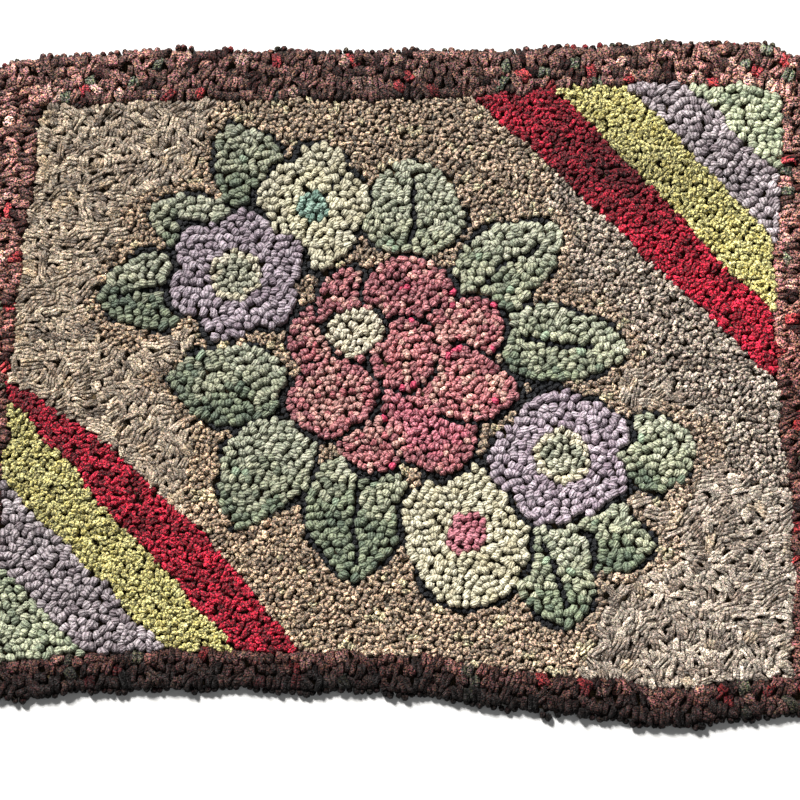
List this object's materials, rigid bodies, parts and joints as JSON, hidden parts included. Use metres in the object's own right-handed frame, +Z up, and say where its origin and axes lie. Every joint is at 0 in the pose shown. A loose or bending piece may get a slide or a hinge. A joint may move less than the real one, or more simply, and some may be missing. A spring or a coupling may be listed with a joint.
{
  "type": "hooked rug",
  "caption": "Small hooked rug of wool loops on a burlap foundation, lying flat, with a floral spray, striped corners and a mottled dark border",
  "frame": {"origin": "on the surface the rug lies on, under the middle of its outline", "axes": "+X runs along the rug's length, to the right as the flowers are seen; +Y runs across it, to its far edge; +Z points up out of the pile"},
  "size_m": [0.8154, 0.6556, 0.0118],
  "materials": {
    "wool_pile": "matte looped wool yarn in many hand-dyed shades",
    "burlap": "coarse plain-woven jute, showing between the flat stitches of the underside"
  },
  "bodies": {
    "root": {"hooked_rug": "wool_pile"}
  },
  "joints": []
}
